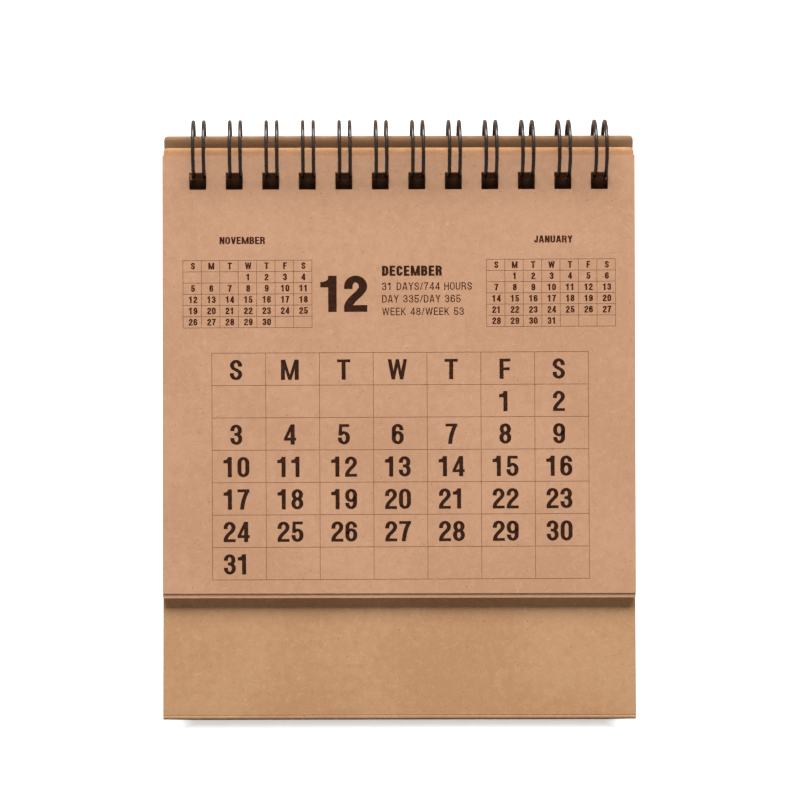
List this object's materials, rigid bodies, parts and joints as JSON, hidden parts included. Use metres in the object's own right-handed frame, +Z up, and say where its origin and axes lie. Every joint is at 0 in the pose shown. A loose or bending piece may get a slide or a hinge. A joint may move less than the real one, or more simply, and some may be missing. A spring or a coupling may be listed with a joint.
{
  "type": "desk calendar",
  "caption": "Tent-shaped desk calendar: a folded board stand with a pad of punched leaves hung on a double-loop wire along its ridge; the front leaf lifts and turns on the loops.",
  "frame": {"origin": "middle of the base, on the surface that the stand rests on", "axes": "+Z up, +X across the calendar to the right as seen from the front, +Y from the front to the back; the leaves face -Y"},
  "size_m": [0.11, 0.0698, 0.1348],
  "materials": {
    "kraft_board": "uncoated",
    "kraft_leaf": "uncoated",
    "black_wire": "satin"
  },
  "bodies": {
    "stand": {"stand_board": "kraft_board", "rear_leaves": "kraft_leaf", "wire_binding": "black_wire"},
    "front_leaf": {"front_leaf": "kraft_leaf"}
  },
  "joints": [
    {"name": "leaf_turn", "type": "hinge", "parent": "stand", "child": "front_leaf", "pos_m": [0, 0.0011, 0.12795], "axis": [-1, 0, 0], "range_deg": [0, 190]}
  ]
}
